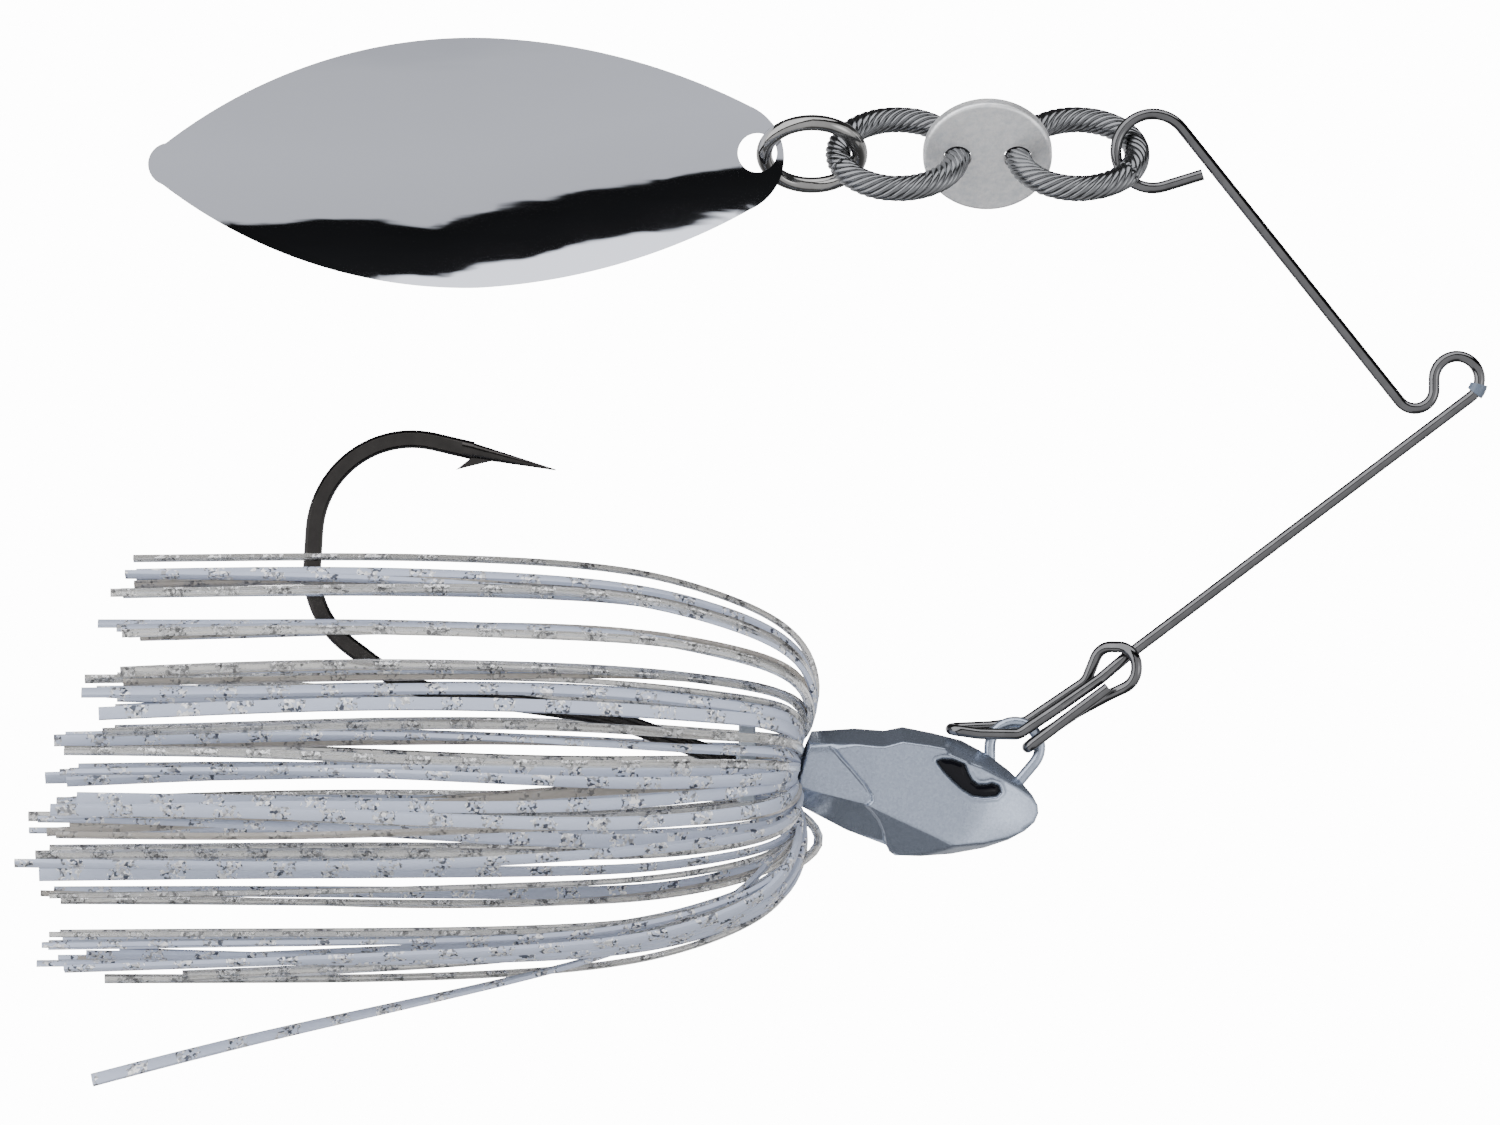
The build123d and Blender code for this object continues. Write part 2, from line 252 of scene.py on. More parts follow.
def add_piece(name, vertices, faces, look, body, replaced):
    """Makes a mesh piece, in millimetres, that rides on a body and stands for CAD nodes."""
    mesh = bpy.data.meshes.new(name)
    corners = [tuple(float(c) * MM for c in v) for v in vertices]
    mesh.from_pydata(corners, [], [tuple(int(i) for i in f) for f in faces])
    mesh.validate()
    mesh.materials.append(looks[look])
    mesh.shade_smooth()
    piece = bpy.data.objects.new(name, mesh)
    bpy.context.scene.collection.objects.link(piece)
    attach(piece, body)
    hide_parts(*replaced)
    return piece


def frames_along(points, up):
    """Side and up directions along a line of points, carried without twist."""
    tangents = np.gradient(points, axis=0)
    tangents /= np.linalg.norm(tangents, axis=1)[:, None]
    ups = np.zeros_like(points)
    current = np.array(up, float)
    for i, tangent in enumerate(tangents):
        current = current - tangent * current.dot(tangent)
        current /= np.linalg.norm(current)
        ups[i] = current
    sides = np.cross(tangents, ups)
    return sides, ups


def tube_faces(rows, count, start=0):
    """Quads and end caps for a tube whose rings follow one another in the vertex list."""
    faces = []
    for row in range(rows - 1):
        for k in range(count):
            a = start + row * count + k
            b = start + row * count + (k + 1) % count
            faces.append((a, b, b + count, a + count))
    faces.append(tuple(start + k for k in reversed(range(count))))
    faces.append(tuple(start + (rows - 1) * count + k for k in range(count)))
    return faces


# ---------------------------------------------------------------- twisted rings

ROPE_STRANDS = 9
ROPE_TURNS = 5
ROPE_RADIUS = 1.15
STRAND_RADIUS = 0.33
CORE_RADIUS = 0.66
LINK_RADIUS = 5.25
LINK_LEAN = math.radians(53)


def twisted_ring(name, node, body, seam_degrees):
    """A closed rope ring of twisted strands with a butt seam."""
    low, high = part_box(node)
    centre = np.array((low + high) / 2) / MM
    across = np.array((1.0, 0.0, 0.0))
    rise = np.array((0.0, math.sin(LINK_LEAN), math.cos(LINK_LEAN)))
    normal = np.cross(across, rise)
    rows, count = 200, 8
    angles = np.radians(seam_degrees) + np.linspace(np.radians(0.45), np.radians(359.55), rows)
    out = np.outer(np.cos(angles), across) + np.outer(np.sin(angles), rise)
    around = 2 * math.pi * np.arange(count) / count
    reach = ROPE_RADIUS - STRAND_RADIUS
    vertices, faces = [], []

    def add_tube(line, radius):
        sides, ups = frames_along(line, normal)
        start = len(vertices)
        for middle, side, up in zip(line, sides, ups):
            for angle in around:
                vertices.append(middle + radius * (math.cos(angle) * side + math.sin(angle) * up))
        faces.extend(tube_faces(rows, count, start))

    for strand in range(ROPE_STRANDS):
        turn = 2 * math.pi * strand / ROPE_STRANDS + ROPE_TURNS * (angles - angles[0])
        wide = out * (LINK_RADIUS + reach * np.cos(turn))[:, None]
        add_tube(centre + wide + np.outer(reach * np.sin(turn), normal), STRAND_RADIUS)
    # a solid core fills the middle between the strands
    add_tube(centre + out * LINK_RADIUS, CORE_RADIUS)
    add_piece(name, vertices, faces, "link", body, [node])


twisted_ring("rope_ring_front", "link_front", "front_link", -35)
twisted_ring("rope_ring_rear", "link_rear", "rear_link", -155)


# ---------------------------------------------------------------- blade

BLADE_MID = (-87.0, 19.0)
BLADE_CROSS_RADIUS = 24.0
BLADE_LENGTH_RADIUS = 158.0
BLADE_THICKNESS = 0.5
BLADE_HALF_LENGTH = 25.3
BLADE_END_DEPTH = BLADE_LENGTH_RADIUS - math.sqrt(BLADE_LENGTH_RADIUS**2 - BLADE_HALF_LENGTH**2)
HOLE = (-61.55, 19.9, 1.72)


def arc_through(a, b, c, count):
    """Points on the arc from a to c through b, without the last."""
    (ax, ay), (bx, by), (cx, cy) = a, b, c
    d = 2 * (ax * (by - cy) + bx * (cy - ay) + cx * (ay - by))
    ux = ((ax**2 + ay**2) * (by - cy) + (bx**2 + by**2) * (cy - ay) + (cx**2 + cy**2) * (ay - by)) / d
    uy = ((ax**2 + ay**2) * (cx - bx) + (bx**2 + by**2) * (ax - cx) + (cx**2 + cy**2) * (bx - ax)) / d
    radius = math.hypot(ax - ux, ay - uy)
    first = math.atan2(ay - uy, ax - ux)
    middle = math.atan2(by - uy, bx - ux)
    last = math.atan2(cy - uy, cx - ux)
    sweep = (last - first) % (2 * math.pi)
    if (middle - first) % (2 * math.pi) > sweep:
        sweep -= 2 * math.pi
    steps = first + sweep * np.arange(count) / count
    return [(ux + radius * math.cos(t), uy + radius * math.sin(t)) for t in steps]


def blade_depth(x, z):
    """Depth of the blade's middle surface, from its two curvatures."""
    along = np.sqrt(BLADE_LENGTH_RADIUS**2 - (x - BLADE_MID[0]) ** 2)
    profile = BLADE_END_DEPTH - BLADE_LENGTH_RADIUS + along
    reach = BLADE_CROSS_RADIUS - BLADE_END_DEPTH + profile
    return BLADE_END_DEPTH - BLADE_CROSS_RADIUS + np.sqrt(reach**2 - (z - BLADE_MID[1]) ** 2)


def inside_loop(x, z, loop):
    """Which of many points are inside a closed loop of points."""
    odd = np.zeros(x.shape, bool)
    for (ax, az), (bx, bz) in zip(loop, np.roll(loop, 1, axis=0)):
        if az == bz:
            continue
        crossing = (az > z) != (bz > z)
        odd ^= crossing & (x < (bx - ax) * (z - az) / (bz - az) + ax)
    return odd


def line_distance(x, z, a, b):
    """Distance of many points from the straight run between two points."""
    a, b = np.array(a, float), np.array(b, float)
    run = b - a
    t = np.clip(((x - a[0]) * run[0] + (z - a[1]) * run[1]) / max(1e-12, run.dot(run)), 0, 1)
    return np.hypot(x - a[0] - t * run[0], z - a[1] - t * run[1])


def outline_distance(x, z, line):
    """Distance of many points from a line of points."""
    return np.min([line_distance(x, z, line[i], line[i + 1]) for i in range(len(line) - 1)], axis=0)


def even_loop(points, step):
    """A closed loop with points about a step apart, its corners kept."""
    made = []
    for a, b in zip(points, points[1:] + points[:1]):
        parts = max(1, round(math.dist(a, b) / step))
        made += [(a[0] + (b[0] - a[0]) * k / parts, a[1] + (b[1] - a[1]) * k / parts) for k in range(parts)]
    return made


def slab(outline, holes, spacing, front_y, back_y):
    """Vertices and faces of a closed slab over an outline in XZ, with its two faces at given depths."""
    loops = [outline] + holes
    xs, zs = np.array(outline).T
    steps_x = np.arange(xs.min(), xs.max(), spacing)
    steps_z = np.arange(zs.min(), zs.max(), spacing)
    grid_x, grid_z = (grid.ravel() for grid in np.meshgrid(steps_x, steps_z))
    keep = inside_loop(grid_x, grid_z, np.array(outline))
    for loop in loops:
        keep &= outline_distance(grid_x, grid_z, loop + loop[:1]) > 0.55 * spacing
    for hole in holes:
        keep &= ~inside_loop(grid_x, grid_z, np.array(hole))
    points, edges = [], []
    for loop in loops:
        start = len(points)
        points += [Vector(p) for p in loop]
        edges += [(start + k, start + (k + 1) % len(loop)) for k in range(len(loop))]
    points += [Vector((float(a), float(b))) for a, b in zip(grid_x[keep], grid_z[keep])]
    found, _, triangles, _, _, _ = geometry.delaunay_2d_cdt(points, edges, [], 0, 1e-7)
    found = np.array([(p.x, p.y) for p in found])
    triangles = np.array(triangles)
    middles = found[triangles].mean(axis=1)
    wanted = inside_loop(middles[:, 0], middles[:, 1], np.array(outline))
    for hole in holes:
        wanted &= ~inside_loop(middles[:, 0], middles[:, 1], np.array(hole))
    count = len(found)
    x, z = found.T
    vertices = list(np.column_stack([x, front_y(x, z), z])) + list(np.column_stack([x, back_y(x, z), z]))
    faces, border = [], set()
    for a, b, c in triangles[wanted]:
        (ax, az), (bx, bz), (cx, cz) = found[a], found[b], found[c]
        if (bx - ax) * (cz - az) - (bz - az) * (cx - ax) < 0:
            b, c = c, b
        faces.append((a, b, c))
        faces.append((a + count, c + count, b + count))
        border |= {(a, b), (b, c), (c, a)}
    faces += [(b, a, a + count, b + count) for a, b in border if (b, a) not in border]
    return vertices, faces


def make_blade():
    outline = arc_through((-113.6, 20.75), (-101.5, 27.4), (-85.4, 30.0), 46)
    outline += arc_through((-85.4, 30.0), (-73.6, 28.3), (-62.2, 24.0), 36)
    outline += arc_through((-62.2, 24.0), (-59.2, 19.5), (-62.2, 14.9), 30)
    outline += arc_through((-62.2, 14.9), (-73.4, 10.2), (-86.2, 8.0), 36)
    outline += arc_through((-86.2, 8.0), (-101.2, 10.3), (-113.9, 17.1), 46)
    outline += arc_through((-113.9, 17.1), (-115.15, 18.9), (-113.6, 20.75), 16)
    hole_steps = np.linspace(0, 2 * math.pi, 48, endpoint=False)
    hole = [(HOLE[0] + HOLE[2] * math.cos(t), HOLE[1] + HOLE[2] * math.sin(t)) for t in hole_steps]
    half = BLADE_THICKNESS / 2
    vertices, faces = slab(
        outline, [hole], 0.5, lambda x, z: blade_depth(x, z) - half, lambda x, z: blade_depth(x, z) + half
    )
    piece = add_piece("blade_leaf", vertices, faces, "chrome", "spinner", ["blade"])
    piece.data.set_sharp_from_angle(angle=math.radians(40))


make_blade()


# ---------------------------------------------------------------- head

SKIRT_AXIS_Z = -34.3
COLLAR_RADIUS = 2.3
COLLAR_ENDS = (-57.6, -63.4)
TOP_LINE = [
    (-56.8, -31.0), (-53.0, -30.75), (-50.4, -30.95), (-48.8, -30.62), (-46.15, -31.15), (-43.6, -31.8),
]
FRONT_LINE = [(-43.6, -31.8), (-41.2, -33.1), (-39.6, -34.3), (-38.3, -35.5), (-37.35, -36.6)]
NOSE_LINE = [(-37.35, -36.6), (-36.88, -37.5), (-36.82, -38.2), (-37.15, -39.0), (-38.0, -39.75)]
BELLY_LINE = [
    (-38.0, -39.75), (-39.5, -40.55), (-41.6, -41.25), (-44.5, -41.78), (-47.2, -41.98), (-49.45, -41.93),
]
GILL_CORNER = [(-49.45, -41.93), (-49.95, -41.6), (-50.25, -41.0)]
REAR_BELLY_LINE = [(-50.25, -41.0), (-53.7, -39.7), (-58.15, -37.35)]
REAR_LINE = [(-58.15, -37.35), (-58.35, -35.9), (-57.4, -32.4), (-56.8, -31.0)]
GILL_LINE = [
    (-48.6, -30.2), (-49.6, -31.0), (-51.0, -31.55), (-53.0, -32.0), (-55.0, -32.3), (-54.3, -33.2),
    (-53.2, -34.4), (-52.2, -35.6), (-51.65, -36.5), (-51.6, -37.0), (-52.1, -37.45), (-51.5, -37.95),
    (-50.9, -38.7), (-50.45, -39.8), (-50.25, -41.0), (-49.3, -42.4),
]
EYE_LINE = [
    (-45.75, -33.6), (-45.3, -33.45), (-44.4, -33.5), (-43.4, -33.9), (-43.1, -34.7), (-42.75, -35.3),
    (-42.2, -35.72), (-41.5, -35.72), (-40.95, -35.6), (-40.4, -35.8), (-40.25, -36.25), (-40.6, -36.6),
    (-41.6, -36.68), (-42.6, -36.55), (-43.5, -36.0), (-44.4, -35.2), (-45.2, -34.35),
]


def smooth_step(value, low, high):
    t = np.clip((value - low) / (high - low), 0, 1)
    return t * t * (3 - 2 * t)


def soft_min(a, b, radius):
    """The smaller of two heights, with the crease between them rounded."""
    h = np.clip(0.5 + 0.5 * (b - a) / radius, 0, 1)
    return b + (a - b) * h - radius * h * (1 - h)


def cheek_width(x):
    """Half the head's width across its flat cheeks."""
    front = 4.35 - 0.16 * np.maximum(x + 51, 0) - 0.035 * np.maximum(x + 43.5, 0) ** 2
    return front - 0.07 * np.maximum(-51 - x, 0)


def below_line(x, z, a, b):
    """How far points are below the line through a and b."""
    run = np.array(b, float) - np.array(a, float)
    run /= np.linalg.norm(run)
    return np.maximum(0, (x - a[0]) * run[1] - (z - a[1]) * run[0])


def head_width(x, z):
    """Half the head's width at points in its side view: flats, facets, mask step, groove and eye recess."""
    mask_area = np.array(GILL_LINE + [(-30, -43), (-30, -29)])
    gill = outline_distance(x, z, GILL_LINE)
    on_mask = inside_loop(x, z, mask_area)
    signed = np.where(on_mask, gill, -gill)
    step = 0.10 + 0.42 * smooth_step(np.abs(z + 34.6), 1.6, 3.6)
    forward = smooth_step(x, -46.5, -39.5)
    taper = 0.035 * np.maximum(0, -36.6 - z) ** 2 + 0.02 * np.maximum(0, z + 35.5) ** 2
    width = cheek_width(x) - forward * taper
    width = soft_min(width, cheek_width(x) - 1.25 * below_line(x, z, (-51.5, -37.5), (-45.7, -40.2)), 0.25)
    rear = cheek_width(x) - 1.2 * below_line(x, z, (-58.2, -35.7), (-52.0, -37.3))
    width = np.where(on_mask, width, soft_min(cheek_width(x), rear, 0.2))
    width = width - step * (1 - smooth_step(signed, -0.16, 0.06))
    for line, edge, steepness in (
        (TOP_LINE, 0.7, 2.6),
        (FRONT_LINE, 0.6, 1.75),
        (NOSE_LINE, 0.5, 2.3),
        (BELLY_LINE, 0.9, 3.2),
        (GILL_CORNER, 1.4, 3.0),
        (REAR_BELLY_LINE, 1.6, 2.6),
        (REAR_LINE, 2.6, 4.0),
    ):
        width = soft_min(width, edge + steepness * outline_distance(x, z, line), 0.35)
    groove = np.exp(-((gill / 0.13) ** 2)) * smooth_step(z, -38.2, -37.4) * smooth_step(-z, 31.9, 32.5)
    width = width - 0.2 * groove
    eye = outline_distance(x, z, EYE_LINE + EYE_LINE[:1])
    eye = np.where(inside_loop(x, z, np.array(EYE_LINE)), -eye, eye)
    width = width + 0.10 * np.exp(-(((eye - 0.3) / 0.2) ** 2)) - 0.45 * (1 - smooth_step(eye, -0.05, 0.22))
    return np.maximum(width, 0.3)


def make_head():
    outline = []
    for line in (TOP_LINE, FRONT_LINE, NOSE_LINE, BELLY_LINE, GILL_CORNER, REAR_BELLY_LINE, REAR_LINE):
        outline += line[:-1]
    outline = even_loop(outline, 0.16)
    vertices, faces = slab(outline, [], 0.11, lambda x, z: -head_width(x, z), head_width)
    collar_angles = np.linspace(0, 2 * math.pi, 32, endpoint=False)
    start = len(vertices)
    for x in COLLAR_ENDS:
        vertices += [
            np.array((x, COLLAR_RADIUS * math.cos(t), SKIRT_AXIS_Z + COLLAR_RADIUS * math.sin(t)))
            for t in collar_angles
        ]
    faces += tube_faces(len(COLLAR_ENDS), len(collar_angles), start)
    piece = add_piece("head_casting", vertices, faces, "paint", "bait", ["head"])
    piece.data.set_sharp_from_angle(angle=math.radians(60))


def make_eye(name, node, side):
    outline = even_loop(EYE_LINE, 0.12)

    def outer(x, z):
        dome = smooth_step(outline_distance(x, z, EYE_LINE + EYE_LINE[:1]), 0.0, 0.45)
        return side * (cheek_width(x) - 0.32 + 0.14 * dome)

    def inner(x, z):
        return side * (cheek_width(x) - 0.48)

    low, high = (outer, inner) if side < 0 else (inner, outer)
    vertices, faces = slab(outline, [], 0.1, low, high)
    add_piece(name, vertices, faces, "eye", "bait", [node])


make_head()
make_eye("eye_near", "eye_left", -1)
make_eye("eye_far", "eye_right", 1)


# ---------------------------------------------------------------- skirt

random.seed(11)

STRAND_THICKNESS = 0.5
GLITTER_PERIOD = 4.6


def smooth_line(controls, count):
    """A uniform cubic B-spline through the run of control points, clamped at both ends."""
    controls = np.array(controls, float)
    controls = np.vstack([controls[:1], controls[:1], controls, controls[-1:], controls[-1:]])
    spans = len(controls) - 3
    steps = np.linspace(0, spans - 1e-6, count)
    span = steps.astype(int)
    t = (steps - span)[:, None]
    a, b, c, d = (controls[span + i] for i in range(4))
    ahead = -3 * t**3 + 3 * t**2 + 3 * t + 1
    return ((1 - t) ** 3 * a + (3 * t**3 - 6 * t**2 + 4) * b + ahead * c + t**3 * d) / 6


def even_line(points, step):
    """The same line with points a fixed step apart, and how far along it each one is."""
    lengths = np.concatenate([[0], np.cumsum(np.linalg.norm(np.diff(points, axis=0), axis=1))])
    count = max(8, int(lengths[-1] / step))
    places = np.linspace(0, lengths[-1], count)
    return np.column_stack([np.interp(places, lengths, points[:, i]) for i in range(3)]), places


def strand_line(tail, bulge, sway, wave):
    """One strand's line, from under the band, forward round the collar, then back to its tail."""
    tail_x, tail_y, tail_z = tail
    reach = math.hypot(tail_y, tail_z - SKIRT_AXIS_Z)
    out = np.array((0, tail_y / reach, (tail_z - SKIRT_AXIS_Z) / reach))
    shape = [
        (-62.6, 2.65),
        (-60.6, 2.65),
        (-59.1, 2.75),
        (-58.3 + 1.2 * bulge, 3.2 + 0.03 * reach),
        (-58.6 + 3.0 * bulge, 3.0 + 0.18 * reach),
        (-59.6 + 3.3 * bulge, 2.4 + 0.42 * reach),
        (-61.6 + 2.0 * bulge, 1.4 + 0.63 * reach),
        (-66.0, 0.6 + 0.80 * reach),
        (-72.5, 0.3 + 0.91 * reach),
        (-82.0, 0.975 * reach),
        (-95.0, 1.0 * reach),
        (-107.0, 1.0 * reach),
        (tail_x, reach),
    ]
    side = np.array((0, -out[2], out[1]))
    controls = []
    for i, (x, r) in enumerate(shape):
        drift = max(0.0, (i - 4) / 8) ** 1.5
        ripple = 0.45 * min(1.0, 2 * drift) * math.sin(wave + 1.1 * i)
        controls.append(
            np.array((x, 0, SKIRT_AXIS_Z)) + out * (r + sway[0] * drift) + side * (sway[1] * drift + ripple)
        )
    return smooth_line(controls, 120)


def ribbon(line, width, twist, phase, store):
    """Adds a flat strand with square ends to a store of vertices, faces and UV places."""
    points, places = even_line(line, 0.75)
    centre = np.array((-60.0, 0.0, SKIRT_AXIS_Z))
    sides, ups = frames_along(points, points[3] - centre)
    corner = 0.3
    outline = [
        (-1, -1 + corner), (-1 + corner, -1), (1 - corner, -1), (1, -1 + corner),
        (1, 1 - corner), (1 - corner, 1), (-1 + corner, 1), (-1, 1 - corner),
    ]
    count = len(outline)
    start = len(store["vertices"])
    turn = twist[0] + twist[1] * places / places[-1]
    for i in range(len(points)):
        narrow = min(1.0, 0.62 + 0.38 * places[i] / 9.0)
        side = math.cos(turn[i]) * sides[i] + math.sin(turn[i]) * ups[i]
        up = -math.sin(turn[i]) * sides[i] + math.cos(turn[i]) * ups[i]
        for a, b in outline:
            across = side * a * width / 2 * narrow
            store["vertices"].append(points[i] + across + up * b * STRAND_THICKNESS / 2)
            store["uv"].append(((places[i] + phase) / GLITTER_PERIOD, 0.5 + a / 2))
    store["faces"] += tube_faces(len(points), count, start)


def strand_piece(name, store, look, replaced):
    piece = add_piece(name, store["vertices"], store["faces"], look, "bait", replaced)
    layer = piece.data.uv_layers.new(name="strand")
    places = np.array(store["uv"])
    for loop in piece.data.loops:
        layer.data[loop.index].uv = places[loop.vertex_index]
    piece.data.set_sharp_from_angle(angle=math.radians(50))


def new_store():
    return {"vertices": [], "faces": [], "uv": []}


SKIRT_REACH = 19.7
STRAND_WIDTHS = {"pearl": 1.15, "clear": 0.85, "smoke": 0.7}
kinds = ["pearl", "pearl", "clear", "pearl", "smoke", "pearl", "clear"]
stores = {kind: new_store() for kind in ("pearl", "clear", "smoke")}
TAIL_HEIGHTS = [-1.0, -0.85, -0.35, 0.0, 0.5, 1.0]
TAIL_REACHES = [-117.0, -124.5, -126.4, -123.4, -120.0, -117.0]
BUNDLES = 18
STRANDS_IN_BUNDLE = 3
for bundle in range(BUNDLES):
    middle = -0.975 + 1.95 * ((bundle + 0.5) / BUNDLES) + random.gauss(0, 0.02)
    near = -1 if bundle % 4 != 3 else 1
    lean = random.gauss(0, 0.9)
    for k in range(STRANDS_IN_BUNDLE):
        kind = kinds[(bundle * STRANDS_IN_BUNDLE + k) % len(kinds)]
        height = max(-0.99, min(0.99, middle + random.gauss(0, 0.05)))
        half = math.sqrt(1 - height**2)
        depth = near * half * random.uniform(0.2, 0.93)
        tail_x = np.interp(height, TAIL_HEIGHTS, TAIL_REACHES) + random.uniform(-0.4, 3.6)
        tail = (tail_x, SKIRT_REACH * depth, SKIRT_AXIS_Z + SKIRT_REACH * height)
        bulge = 0.14 + 0.74 * max(0, height) + 0.3 * max(0, -height) + random.uniform(-0.08, 0.08)
        sway = (random.gauss(-0.6, 0.9), lean + random.gauss(0, 1.3))
        line = strand_line(tail, max(0.1, min(1.0, bulge)), sway, random.uniform(0, 6.28))
        width = STRAND_WIDTHS[kind] * random.uniform(0.85, 1.1)
        twist = (random.uniform(-0.3, 0.3), random.gauss(0, 0.9))
        phase = random.uniform(0, 5)
        ribbon(line, width, twist, phase, stores[kind])
        # a near strand that is well out from the middle has a twin on the far side
        if near < 0 and abs(depth) > 0.3:
            far_line = line[: random.randint(114, 120)] * (1, -1, 1)
            ribbon(far_line, width, (-twist[0], -twist[1]), phase + 2.0, stores[kind])

# one clear strand loops forward under the collar before it turns back
loop_line = smooth_line(
    [
        (-62.6, -0.4, -37.0), (-59.6, -0.6, -37.2), (-57.6, -0.8, -38.2), (-55.9, -1.0, -40.0),
        (-56.3, -1.2, -41.7), (-59.6, -1.6, -43.6), (-64.5, -2.4, -46.4), (-72.0, -3.2, -49.4),
        (-84.0, -3.6, -51.0), (-98.0, -3.4, -51.8), (-112.0, -3.0, -52.4),
    ],
    140,
)
ribbon(loop_line, 0.9, (0.6, 0.6), 2.0, stores["clear"])

strand_piece("pearl_strands", stores["pearl"], "pearl", ["skirt_pearl"])
strand_piece("clear_strands", stores["clear"], "clear", ["skirt_clear"])
strand_piece("smoke_strands", stores["smoke"], "smoke", ["skirt_smoke"])

stray = new_store()
stray_line = smooth_line(
    [
        (-62.6, 0, -36.95), (-60.4, -0.2, -36.95), (-58.9, -0.4, -37.3), (-58.6, -0.9, -39.2),
        (-60.6, -1.6, -43.2), (-65.6, -2.0, -47.0), (-74.0, -2.0, -50.6), (-85.3, -2.0, -53.4),
        (-97.0, -1.5, -56.0), (-108.0, -1.0, -58.5), (-120.1, 0, -61.7),
    ],
    140,
)
ribbon(stray_line, 1.15, (0.0, 1.5), 1.0, stray)
strand_piece("stray_strand", stray, "pearl", ["skirt_stray"])


# ---------------------------------------------------------------- camera, light, floor

CAMERA_AIM = Vector((-0.0622, 0, -0.01615))
CAMERA_DISTANCE = 1.1
VIEW_WIDTH = 0.132
SENSOR_WIDTH = 36
camera_data = bpy.data.cameras.new("camera")
camera_data.sensor_width = SENSOR_WIDTH
camera_data.lens = SENSOR_WIDTH * CAMERA_DISTANCE / VIEW_WIDTH
camera_data.clip_end = 20
camera = bpy.data.objects.new("camera", camera_data)
bpy.context.scene.collection.objects.link(camera)
camera.location = CAMERA_AIM + Vector((0, -CAMERA_DISTANCE, 0))
camera.rotation_euler = (math.radians(90), 0, 0)
bpy.context.scene.camera = camera


def area_light(name, place, aim, size, power):
    data = bpy.data.lights.new(name, "AREA")
    data.shape = "RECTANGLE"
    data.size, data.size_y = size
    data.energy = power
    lamp = bpy.data.objects.new(name, data)
    bpy.context.scene.collection.objects.link(lamp)
    lamp.location = place
    lamp.visible_glossy = False
    lamp.rotation_euler = (Vector(aim) - Vector(place)).to_track_quat("-Z", "Y").to_euler()


area_light("front_soft", (-0.30, -0.55, 0.10), (-0.06, 0, -0.01), (0.35, 0.35), 2.0)
area_light("under_soft", (-0.02, -0.30, -0.30), (-0.05, 0, -0.02), (0.3, 0.2), 0.35)

BACKGROUND_STRENGTH = 14.0


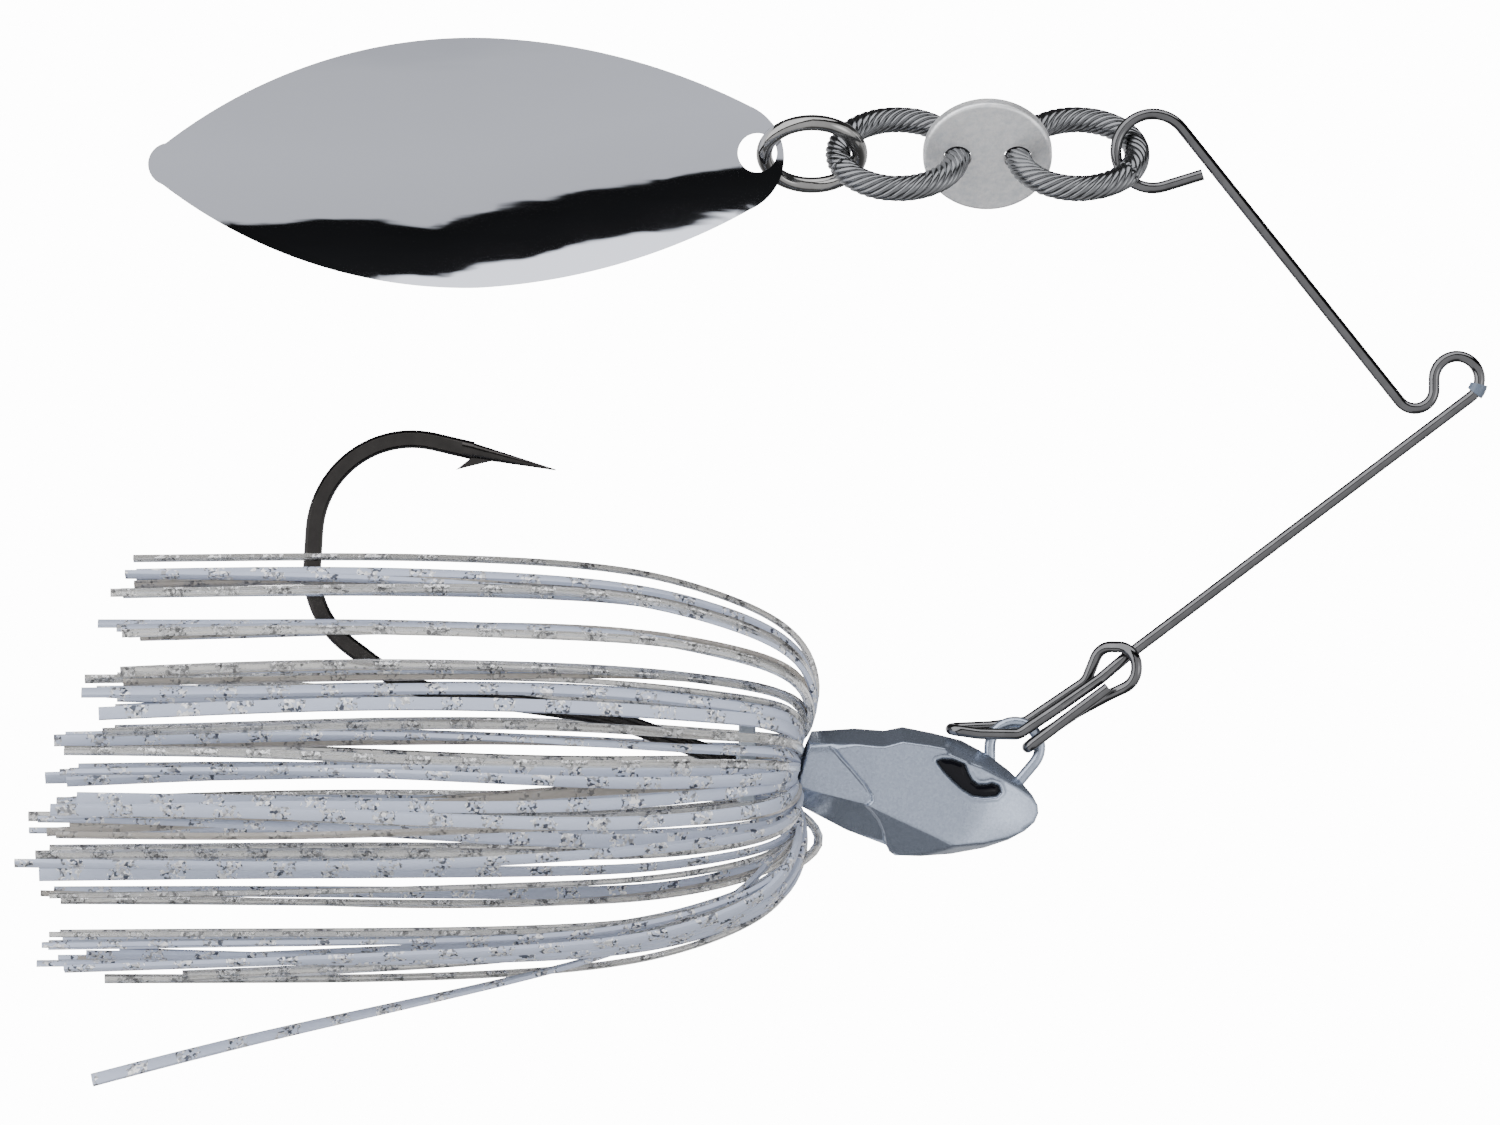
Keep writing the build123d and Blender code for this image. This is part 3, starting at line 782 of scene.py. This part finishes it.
def studio_world():
    """A pale studio with a dark ceiling behind and a dark slanted band in front, for the metal to show."""
    world = bpy.data.worlds.new("studio")
    world.use_nodes = True
    tree = world.node_tree

    def node(kind, **settings):
        made = tree.nodes.new(kind)
        for key, value in settings.items():
            setattr(made, key, value)
        return made

    def math_node(operation, *values):
        made = node("ShaderNodeMath", operation=operation)
        for socket, value in zip(made.inputs, values):
            if isinstance(value, (int, float)):
                socket.default_value = value
            else:
                tree.links.new(value, socket)
        return made.outputs[0]

    def ramp(value, stops):
        made = node("ShaderNodeValToRGB")
        while len(made.color_ramp.elements) < len(stops):
            made.color_ramp.elements.new(0.5)
        for element, (position, level) in zip(made.color_ramp.elements, stops):
            element.position = position
            element.color = (level, level, level * 1.02, 1)
        tree.links.new(math_node("MULTIPLY_ADD", value, 0.5, 0.5), made.inputs["Fac"])
        return made.outputs["Color"]

    place = node("ShaderNodeTexCoord").outputs["Generated"]
    split = node("ShaderNodeSeparateXYZ")
    tree.links.new(place, split.inputs["Vector"])
    x, y, z = (split.outputs[k] for k in "XYZ")
    cloud = node("ShaderNodeTexNoise")
    cloud.inputs["Scale"].default_value = 9.0
    cloud.inputs["Detail"].default_value = 4.0
    tree.links.new(place, cloud.inputs["Vector"])
    ripple = math_node("MULTIPLY", math_node("SUBTRACT", cloud.outputs["Fac"], 0.5), 0.16)
    slant = math_node("MULTIPLY", math_node("MINIMUM", x, 0.0), 1.35)
    height = math_node("ADD", math_node("SUBTRACT", z, slant), ripple)
    front = ramp(math_node("MINIMUM", height, 1.0), [
        (0.0, 0.12), (0.06, 0.2), (0.1, 0.82), (0.2, 0.98), (0.5, 1.05),
        (0.722, 1.0), (0.733, 0.012), (0.88, 0.02), (0.895, 2.6), (1.0, 2.6),
    ])
    back = ramp(z, [(0.0, 0.1), (0.13, 0.2), (0.3, 0.9), (0.45, 1.0), (0.60, 1.0), (0.70, 0.10), (1.0, 0.05)])
    # a small soft box, low and ahead, that the nose of the head shows
    spot = node("ShaderNodeVectorMath", operation="DISTANCE")
    tree.links.new(place, spot.inputs[0])
    spot.inputs[1].default_value = (0.76, -0.62, -0.14)
    glow = node("ShaderNodeMapRange", interpolation_type="SMOOTHSTEP")
    tree.links.new(spot.outputs["Value"], glow.inputs["Value"])
    for socket, value in (("From Min", 0.1), ("From Max", 0.4), ("To Min", 1.8), ("To Max", 0.0)):
        glow.inputs[socket].default_value = value
    lit = node("ShaderNodeMix", data_type="RGBA", blend_type="ADD")
    lit.inputs[0].default_value = 1.0
    tree.links.new(front, lit.inputs[6])
    tree.links.new(glow.outputs["Result"], lit.inputs[7])
    front = lit.outputs[2]
    side = math_node("GREATER_THAN", y, 0.0)
    mix = node("ShaderNodeMix", data_type="RGBA")
    tree.links.new(side, mix.inputs[0])
    tree.links.new(front, mix.inputs[6])
    tree.links.new(back, mix.inputs[7])
    background = tree.nodes["Background"]
    tree.links.new(mix.outputs[2], background.inputs["Color"])
    plain = node("ShaderNodeBackground")
    plain.inputs["Color"].default_value = (1, 1, 1, 1)
    plain.inputs["Strength"].default_value = BACKGROUND_STRENGTH
    seen = node("ShaderNodeLightPath").outputs["Is Camera Ray"]
    choose = node("ShaderNodeMixShader")
    tree.links.new(seen, choose.inputs[0])
    tree.links.new(background.outputs[0], choose.inputs[1])
    tree.links.new(plain.outputs[0], choose.inputs[2])
    tree.links.new(choose.outputs[0], tree.nodes["World Output"].inputs["Surface"])
    bpy.context.scene.world = world


studio_world()

# low enough for the bait to hang down from the arm
FLOOR_X, FLOOR_Z = -0.062, -0.125
FLOOR_RADIUS = 0.2
floor_data = bpy.data.meshes.new("floor")
floor_steps = np.linspace(0, 2 * math.pi, 96, endpoint=False)
floor_rim = [(FLOOR_X + FLOOR_RADIUS * math.cos(t), FLOOR_RADIUS * math.sin(t), FLOOR_Z) for t in floor_steps]
floor_data.from_pydata(floor_rim, [], [tuple(range(len(floor_rim)))])
floor_data.materials.append(material("floor_white", (0.9, 0.9, 0.9), 0.0, 0.9))
floor = bpy.data.objects.new("floor", floor_data)
bpy.context.scene.collection.objects.link(floor)
floor.visible_glossy = False
